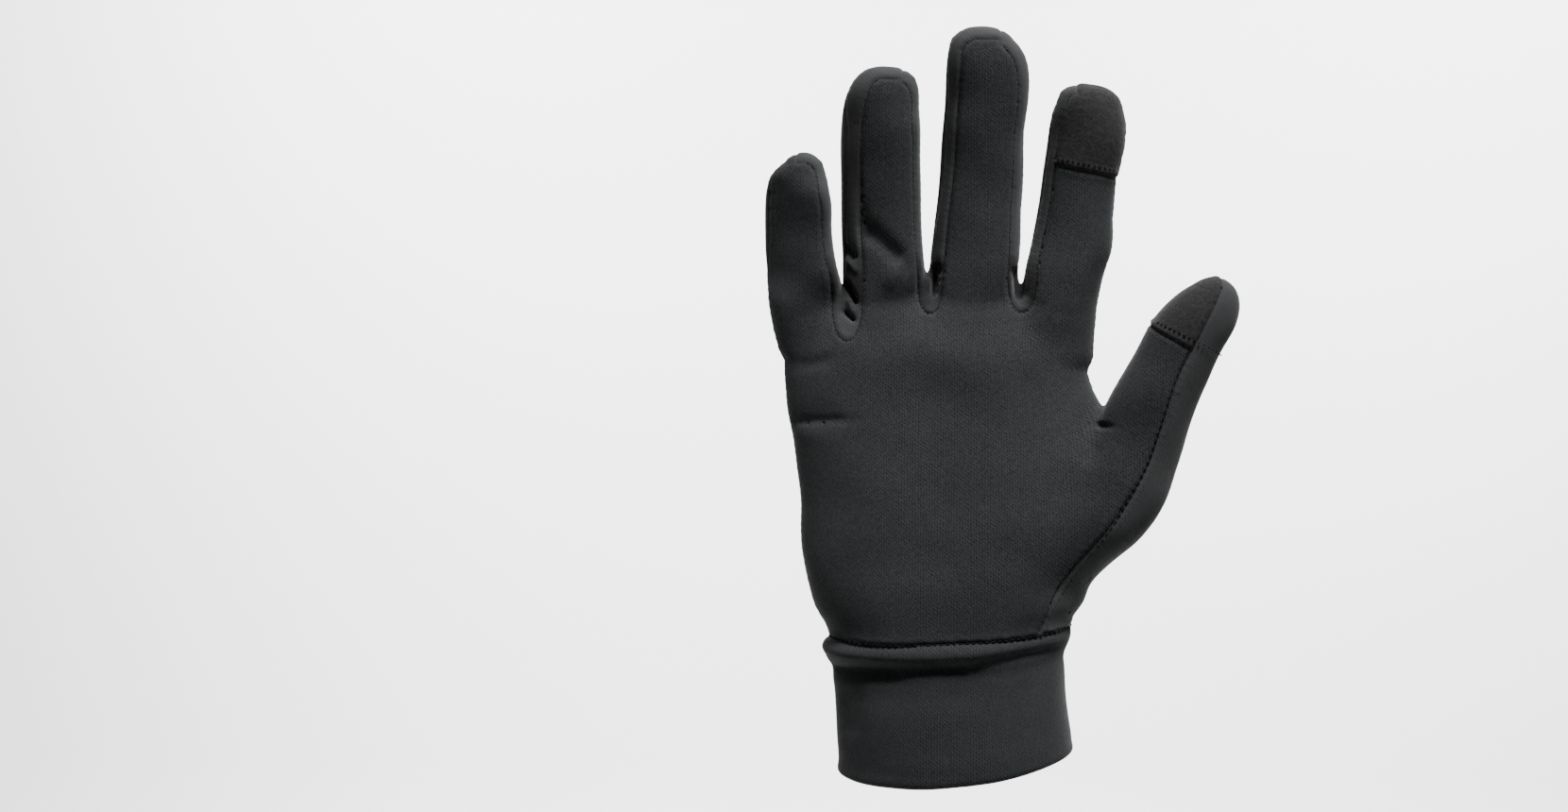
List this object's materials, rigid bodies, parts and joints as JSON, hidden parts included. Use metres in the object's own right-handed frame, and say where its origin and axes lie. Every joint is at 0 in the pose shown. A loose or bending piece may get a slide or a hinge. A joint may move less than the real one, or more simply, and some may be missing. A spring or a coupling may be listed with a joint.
{
  "type": "glove liner",
  "caption": "Right-hand stretch knit glove liner, hollow, with folded cuff, strips between the fingers and felted touch tips on thumb and index finger.",
  "frame": {"origin": "centre of the wrist opening, at the folded edge of the cuff", "axes": "+Z from the wrist opening to the fingertips, -Y the way the palm faces, +X towards the thumb"},
  "size_m": [0.1475, 0.0494, 0.2363],
  "materials": {
    "knit_palm": "brushed stretch knit, matt charcoal",
    "knit_back": "smooth stretch knit, matt charcoal",
    "knit_cuff": "smooth stretch knit folded double, matt charcoal",
    "touch_felt": "short felted pile, matt grey black"
  },
  "bodies": {
    "root": {"palm_panel": "knit_palm", "back_panel": "knit_back", "fourchette_little_ring": "knit_back", "fourchette_ring_middle": "knit_back", "fourchette_middle_index": "knit_back", "index_touch_tip": "touch_felt", "thumb_touch_tip": "touch_felt", "cuff": "knit_cuff"}
  },
  "joints": []
}
